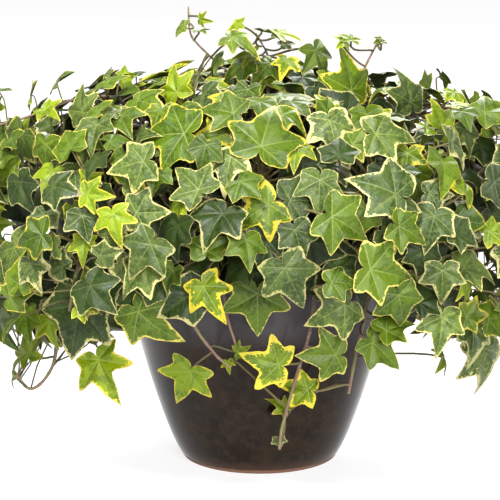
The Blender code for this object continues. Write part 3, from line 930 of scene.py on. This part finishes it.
for name in ("pot", *(f"vine_{number:02d}" for number in range(1, len(VINES) + 1))):
    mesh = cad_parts[name].data
    coordinates = np.empty(len(mesh.vertices) * 3)
    mesh.vertices.foreach_get("co", coordinates)
    filled.add(solid_tree(coordinates.reshape(-1, 3), [tuple(face.vertices) for face in mesh.polygons]))

for number, (spot, turn, length, face, tone) in enumerate(LARGE_LEAVES, 1):
    rng = np.random.default_rng(100 + number)
    place = mm(on_mound(*spot))
    values = tone_values(tone, rng, 0.4)
    youth = min(1, values[0] + POINTED)
    points, plan, axes = leaf_solid(place, (turn, face), mm(length), youth, rng, FINE_LEAF, 0.4)
    stalk, _ = petiole_path(place, axes[1], axes[2], 10)
    bunch = LeafBunch()
    add_leaf(bunch, points, plan, FINE_LEAF, values, stalk, rng, 8)
    bunch.make_piece(f"leaf_{number:02d}_blade", SLOTS[tone], [f"leaf_{number:02d}"])
    filled.add(solid_tree(points, FINE_LEAF[3]))
    large_places.append((place + axes[1] * mm(length) * 0.2, axes[2], mm(length)))

# ---------------------------------------------------------------------------
# The middling leaves: those that show between and round the larger ones, of the same kind, down
# to the buds at the vines' tips. A row that finds no clear room gives no leaf.
# ---------------------------------------------------------------------------

# Those that stand out on the mound's face: how far across and up it, the turn of the tip, the
# length and the tone. Their depth is worked out, sinking in until they clear their neighbours.
MIDDLE_LEAVES = [
    # The crown.
    (-150, 255, 110, 18, "lime"), (-135, 265, 90, 20, "lime"), (-105, 270, 345, 24, "green"),
    (-85, 265, 90, 26, "green"), (-92, 255, 120, 22, "green"), (-108, 250, 165, 24, "pale"),
    (-90, 250, 60, 20, "pale"), (-120, 245, 165, 20, "green"), (-125, 235, 165, 26, "slate"),
    (-105, 233, 165, 20, "dark"), (-120, 222, 0, 14, "lime"), (-85, 222, 60, 22, "gilt"),
    (-25, 254, 270, 24, "gilt"), (-20, 240, 180, 26, "cream"), (-30, 238, 150, 26, "dark"),
    (0, 265, 180, 20, "green"), (20, 265, 120, 20, "pale"), (45, 262, 45, 22, "lime"),
    (70, 258, 180, 24, "green"), (82, 262, 120, 22, "lime"), (75, 248, 90, 30, "pale"),
    (60, 246, 90, 20, "green"), (50, 238, 0, 20, "dark"), (38, 225, 180, 26, "pale"),
    (22, 228, 60, 22, "dark"), (60, 228, 90, 20, "cream"), (95, 240, 180, 22, "gilt"),
    (105, 235, 165, 26, "green"), (125, 240, 120, 24, "cream"), (155, 250, 60, 26, "green"),
    (165, 248, 90, 26, "lime"),
    # The middle.
    (-158, 215, 150, 24, "dark"), (-135, 215, 90, 22, "slate"), (-115, 200, 165, 20, "slate"),
    (-80, 205, 90, 22, "pale"), (-60, 215, 180, 20, "lime"), (-25, 208, 200, 28, "dark"),
    (-58, 200, 180, 24, "dark"), (-115, 185, 180, 18, "lime"), (-100, 190, 45, 22, "pale"),
    (20, 215, 90, 24, "slate"), (22, 197, 165, 22, "slate"), (5, 190, 255, 26, "dark"),
    (-10, 190, 180, 22, "green"), (-35, 185, 0, 22, "green"), (28, 175, 180, 34, "shade"),
    (52, 178, 45, 20, "dark"), (112, 200, 195, 24, "slate"), (132, 212, 60, 24, "gilt"),
    (110, 215, 90, 18, "cream"), (145, 200, 105, 26, "cream"), (155, 215, 105, 24, "dark"),
    (125, 188, 120, 20, "slate"), (108, 178, 180, 20, "dark"), (150, 185, 60, 20, "lime"),
    (135, 172, 100, 26, "pale"), (165, 170, 150, 26, "cream"), (118, 165, 180, 22, "pale"),
    # The skirt, down to the rim.
    (-168, 150, 200, 24, "green"), (-150, 165, 150, 22, "cream"), (-140, 158, 200, 24, "gilt"),
    (-75, 172, 225, 28, "pale"), (-92, 178, 150, 20, "dark"), (-90, 165, 120, 18, "cream"),
    (-55, 162, 200, 24, "gilt"), (-118, 140, 90, 16, "lime"), (-85, 150, 180, 20, "dark"),
    (-10, 165, 30, 18, "gilt"), (5, 168, 165, 20, "lime"), (45, 162, 90, 20, "green"),
    (88, 152, 165, 26, "green"), (80, 143, 60, 22, "green"), (105, 150, 60, 20, "dark"),
    (140, 155, 165, 22, "lime"), (78, 120, 135, 26, "green"), (105, 138, 180, 22, "lime"),
    (118, 132, 190, 26, "pale"), (135, 130, 90, 20, "gilt"), (98, 130, 0, 16, "dark"),
    (140, 118, 190, 24, "cream"), (-155, 125, 160, 22, "lime"), (-170, 105, 200, 28, "green"),
    # The right side, low down, and beside the middle.
    (125, 85, 250, 18, "lime"), (32, 168, 200, 28, "green"),
]

# The thin leaves that stand up over the crown: how far across and up, the turn of the tip, the
# length, how far the face looks up, and the tone.
SKYLINE_LEAVES = [
    (-52, 311, 250, 13, 20, "young"), (-41, 316, 100, 9, 20, "lime"), (-42, 308, 95, 10, 75, "young"),
    (-20, 303, 110, 22, 70, "young"), (-13, 309, 240, 13, 40, "lime"), (-30, 288, 225, 16, 45, "young"),
    (-15, 297, 290, 12, 65, "young"), (-7, 296, 245, 18, 68, "lime"), (-10, 283, 230, 22, 50, "green"),
    (12, 305, 110, 17, 62, "lime"), (1, 298, 70, 15, 68, "young"), (16, 297, 60, 10, 50, "pale"),
    (8, 289, 230, 22, 64, "green"), (18, 287, 200, 18, 50, "gilt"), (27, 278, 120, 14, 30, "gilt"),
    (-8, 285, 240, 18, 40, "pale"), (0, 276, 100, 20, 60, "lime"), (-22, 275, 215, 20, 45, "young"),
    (63, 301, 30, 13, 35, "lime"), (56, 297, 255, 11, 45, "lime"), (48, 277, 200, 18, 25, "green"),
    (55, 272, 45, 12, 25, "lime"), (84, 300, 20, 7, 30, "young"), (81, 297, 250, 7, 30, "young"),
]
# They stand about this far to the front, more or less by the spread, in millimetres.
SKYLINE_DEPTH = 18
SKYLINE_SPREAD = 12

# Those that hang in front of the pot: how far across and up, the turn of the tip, the length
# and the tone. They stand this far off its side.
HANGING_LEAVES = [
    (32, 70, 285, 23, "gilt"), (80, 78, 195, 22, "bright"), (12, 55, 320, 14, "lime"),
    (-18, 103, 75, 11, "lime"), (-22, 93, 170, 8, "lime"), (13, 37, 170, 8, "cream"),
    (10, 41, 215, 8, "lime"), (62, 62, 215, 13, "green"),
]
HANGING_STAND = 16

# Those at the tip of the vine that hooks back up: the vine's number, the share of the way along
# it, the turn of the tip, the length, how far the face looks up, and the tone. They stand this
# far in front of the vine, in metres.
TIP_LEAVES = [(10, 1.00, 20, 20, 5, "lime"), (10, 0.95, 150, 20, 5, "lime")]
TIP_LEAF_STAND = 0.012


def add_where_clear(bunch, points, plan, grid, tone, stalk, rng, sides, radius=0.0006):
    """Adds a leaf, and says so, where neither blade nor petiole crosses what is there."""
    blade = solid_tree(points, grid[3])
    if not is_clear(blade):
        return False
    twig = solid_tree(*tube_surface(stalk[1:-1], np.full(len(stalk) - 2, radius), max(3, sides - 1)))
    if not is_clear(twig):
        return False
    add_leaf(bunch, points, plan, grid, tone, stalk, rng, sides)
    filled.add(blade, twig)
    return True


def on_vine(number, share):
    """A point just in front of a vine, this share of the way along it."""
    path = stems[number - 1][0]
    return np.array(path[round(share * (len(path) - 1))]) - np.array((0, TIP_LEAF_STAND, 0))


def by_the_pot(across, up):
    """A point in front of the pot's side at this height, by Pythagoras from its radius."""
    reach = 1000 * pot_radius(0.001 * up) + HANGING_STAND
    return across, -math.sqrt(reach ** 2 - across ** 2), up


bunches = {number: LeafBunch() for number in range(1, len(VINES) + 1)}

# Every row as its place, turn, length, face and tone, and whether it stands free of the mound.
middling = [
    (mm((across, SKYLINE_SPREAD * math.sin(2.4 * up) - SKYLINE_DEPTH, up)), turn, length, face, tone, True)
    for across, up, turn, length, face, tone in SKYLINE_LEAVES
] + [
    (mm(by_the_pot(across, up)), turn, length, 10, tone, True)
    for across, up, turn, length, tone in HANGING_LEAVES
] + [
    (mm(on_mound(across, up, 0)), turn, length, 20 + 40 * max(0, up - 225) / 50, tone, False)
    for across, up, turn, length, tone in MIDDLE_LEAVES
] + [
    (on_vine(vine, share), turn, length, face, tone, True)
    for vine, share, turn, length, face, tone in TIP_LEAVES
]

# How far a leaf is moved along its own normal, in millimetres, until it finds clear room.
FREE_STEPS = (0, 3, -3, 6, -6, 10, -10)
FACE_STEPS = (2, -3, -7, -11, -15, -20, -25, -30)

for number, (place, turn, length, face, tone, stands_free) in enumerate(middling, 1):
    rng = np.random.default_rng(500 + number)
    values = tone_values(tone, rng, 0.6)
    shape = rng.integers(1, 1 << 30)
    pose = (turn, face + rng.normal(4, 14), rng.normal(0, 20))
    youth = min(1, values[0] + MIDDLING_SHARE * POINTED)
    for step in FREE_STEPS if stands_free else FACE_STEPS:
        hub = place + leaf_axes(place, *pose)[2] * step * 0.001
        if not stands_free and hides_large(hub, mm(length)):
            continue
        own = np.random.default_rng(shape)
        points, plan, axes = leaf_solid(hub, pose, mm(length), youth, own, MIDDLE_LEAF, 0.8)
        stalk, owner = petiole_path(hub, axes[1], axes[2], 7)
        if add_where_clear(bunches[owner], points, plan, MIDDLE_LEAF, values, stalk, rng, 5):
            break

# ---------------------------------------------------------------------------
# The smaller leaves: hundreds more of the same kind, in layers over the whole mound.
# Each hangs on a petiole from a vine near it, with its face out to the light.
# ---------------------------------------------------------------------------
MOUND_MIDDLE = 0.165
MOUND_WIDTH = 0.214
MOUND_DEPTH = 0.172
MOUND_RISE = 0.108
MOUND_DROP = 0.100


def ring_point(azimuth, size, height):
    """A point on the mound's ellipse at this height, its size over the widest one's."""
    across, forward = math.sin(azimuth) * MOUND_WIDTH, math.cos(azimuth) * MOUND_DEPTH
    return np.array((across * size, -forward * size, height))


def mound_point(azimuth, height, layer):
    """A point on a shell of the mound, azimuth in radians from the front towards +X.

    The shell's half width and depth shrink above and below its middle, as the root of one
    less a power of the height's share, and layer scales both.
    """
    share = (height - MOUND_MIDDLE) / (MOUND_RISE if height > MOUND_MIDDLE else MOUND_DROP)
    return ring_point(azimuth, max(0.0, 1 - abs(share) ** 2.4) ** 0.4545 * layer, height)


def cap_point(azimuth, share, layer):
    """A point on the top of the mound, at this share of the way out to its widest ring."""
    height = MOUND_MIDDLE + (MOUND_RISE - 0.11 * (1 - layer)) * (1 - share ** 2.2) ** (1 / 2.4)
    return ring_point(azimuth, share * layer, height)


def lowest_leaf(azimuth):
    """The mound's lower edge: high over the front of the pot, lower at the sides and back."""
    turns, heights = (0.0, 0.6, 1.1, 1.8, math.pi), (0.152, 0.138, 0.106, 0.088, 0.085)
    return float(np.interp(abs((azimuth + math.pi) % (2 * math.pi) - math.pi), turns, heights))


# Young leaves that stand off the vines themselves, from a third of the way to the tip. The
# vines that hang over the pot, the one that hooks back up and those that rise bear none.
BARE_VINES = (1, 2, 3, 4, 10, 16, 17, 18)
rng = np.random.default_rng(7)
for number, (path, radii) in enumerate(stems, 1):
    if number in BARE_VINES:
        continue
    for i in range(len(path) // 3, len(path) - 5, 3):
        way = path[i + 1] - path[i - 1]
        way /= np.linalg.norm(way)
        off = rng.normal(0, 1, 3) + (path[i][0] * 3, path[i][1] * 3, 0.7)
        off -= way * off.dot(way)
        off /= np.linalg.norm(off)
        place = path[i] + off * rng.uniform(0.009, 0.024)
        if hides_large(place, 0.015):
            continue
        pose = (rng.normal(180, 80), 35 + rng.normal(0, 25), rng.normal(0, 35))
        length, colour, draw = mm(rng.uniform(10, 21)), rng.uniform(0, 1), rng.integers(1, 1 << 30)
        own = np.random.default_rng(draw)
        values = tone_values("lime" if colour < 0.4 else "bright" if colour < 0.75 else "pale", own)
        points, plan, (_, tip, normal) = leaf_solid(place, pose, length, values[0], own, PLAIN_LEAF)
        hub, bark_point = place - normal * HUB_GAP, path[i] + off * radii[i] * INTO_BARK
        stalk = curved_stalk(hub, bark_point, tip, normal, off, 5)
        add_where_clear(bunches[number], points, plan, PLAIN_LEAF, values, stalk, own, 3, 0.0005)

# The layers: each one's width over the mound's, how many places are tried, the least distance
# between two leaves of it, and whether it is a cap on the mound's top.
LAYERS = [
    (1.00, 1700, 0.0160, False), (1.00, 900, 0.0170, True), (0.93, 1700, 0.0165, False),
    (0.88, 800, 0.0180, True), (0.85, 1700, 0.0170, False), (0.76, 1500, 0.0180, False),
    (0.74, 600, 0.0200, True), (0.66, 1200, 0.0190, False), (0.54, 900, 0.0200, False),
    (0.42, 500, 0.0220, False),
]

# The longest petiole of a leaf in the front half, and of one in the back half.
FRONT_PETIOLE = 0.06
BACK_PETIOLE = 0.09

rng = np.random.default_rng(11)
LEAF_KINDS = ("green", "bright", "lime", "pale", "slate", "dark", "gilt", "cream", "shade")
KIND_SHARES = np.cumsum((0.26, 0.20, 0.15, 0.11, 0.07, 0.08, 0.06, 0.03, 0.04))
for layer, tries, spacing, on_cap in LAYERS:
    shell = []
    for _ in range(tries):
        azimuth = rng.uniform(-math.pi, math.pi)
        height, share = rng.uniform(0.075, 0.272), 0.92 * math.sqrt(rng.uniform(0, 1))
        tip, tilt, yaw = rng.normal(180, 70), rng.normal(0, 18), rng.normal(0, 24)
        size, colour, draw = rng.uniform(0, 1), rng.uniform(0, 1), rng.integers(1, 1 << 30)
        if not on_cap and height < lowest_leaf(azimuth):
            continue
        place = cap_point(azimuth, share, layer) if on_cap else mound_point(azimuth, height, layer)
        pose = (tip, 22 + 48 * np.clip((place[2] - 0.19) / 0.08, 0, 1) + tilt, yaw)
        if hides_large(place, 0.022):
            continue
        if shell and np.linalg.norm(np.array(shell) - place, axis=1).min() < spacing:
            continue
        length = mm(15 + 17 * size ** 1.4)
        kind = int(np.searchsorted(KIND_SHARES, colour))
        name = LEAF_KINDS[kind] if kind < len(LEAF_KINDS) else "green"
        # Painted shade: leaves of the inner layers take the darkest tones, standing in for the shade deep
        # in the mound.
        if layer < 0.9:
            name, length = "shade" if colour < 0.6 else "dark", length + 0.003
        values = tone_values(name, np.random.default_rng(draw))
        for rank in range(3):
            own = np.random.default_rng(draw)
            points, plan, axes = leaf_solid(place, pose, length, values[0], own, PLAIN_LEAF)
            stalk, owner = petiole_path(place, axes[1], axes[2], 5, rank)
            longest = FRONT_PETIOLE if place[1] < 0 else BACK_PETIOLE
            if np.linalg.norm(stalk[1] - stalk[-1]) <= longest and add_where_clear(
                    bunches[owner], points, plan, PLAIN_LEAF, values, stalk, own, 3):
                shell.append(place)
                break
            place = place + axes[2] * 0.0025
for number, bunch in bunches.items():
    if bunch.count:
        bunch.make_piece(f"vine_{number:02d}_leaves", "leaf_green")

# ---------------------------------------------------------------------------
# The studio: a white table that runs back out of sight, and soft white light from all round.
# ---------------------------------------------------------------------------
floor_points = np.array([(-6, -4, 0), (6, -4, 0), (6, 14, 0), (-6, 14, 0)], float) - (0, 0, 0.0002)
floor_material, _, floor_surface = new_material("white_table")
floor_surface.inputs["Base Color"].default_value = (0.25, 0.25, 0.25, 1)
floor_surface.inputs["Roughness"].default_value = 0.6
floor_surface.inputs["Emission Color"].default_value = (1, 1, 1, 1)
floor_surface.inputs["Emission Strength"].default_value = 0.77
floor_mesh = bpy.data.meshes.new("table")
floor_mesh.from_pydata(floor_points.tolist(), [], [(0, 1, 2, 3)])
floor_mesh.materials.append(floor_material)
floor = bpy.data.objects.new("table", floor_mesh)
bpy.context.scene.collection.objects.link(floor)

world = bpy.data.worlds.new("studio")
world.use_nodes = True
sky = Nodes(world.node_tree)
direction = sky.add("ShaderNodeTexCoord").outputs["Generated"]
up = sky.add("ShaderNodeSeparateXYZ", Vector=direction).outputs["Z"]
horizon, overhead = sky.ramp(up, 0.26, 0.42, 0.92, 0.15), sky.ramp(up, 0.4, 0.95, 0.0, 0.62)
background = world.node_tree.nodes["Background"]
sky.put(background.inputs["Strength"], sky.maths("MAXIMUM", horizon, overhead))
background.inputs["Color"].default_value = (1.0, 1.0, 1.0, 1)
bpy.context.scene.world = world


def soft_light(name, place, size, power):
    """A square area light that looks at the middle of the plant."""
    data = bpy.data.lights.new(name, "AREA")
    data.size = size
    data.energy = power
    light = bpy.data.objects.new(name, data)
    light.location = place
    light.rotation_euler = (Vector((0, 0, 0.16)) - light.location).to_track_quat("-Z", "Y").to_euler()
    bpy.context.scene.collection.objects.link(light)


soft_light("key", (-0.65, -1.0, 1.85), 0.45, 88)
soft_light("front", (0.45, -2.0, 0.85), 0.8, 66)
soft_light("rim", (0.5, 1.6, 1.5), 0.8, 62)
bpy.context.scene.view_settings.view_transform = "Standard"
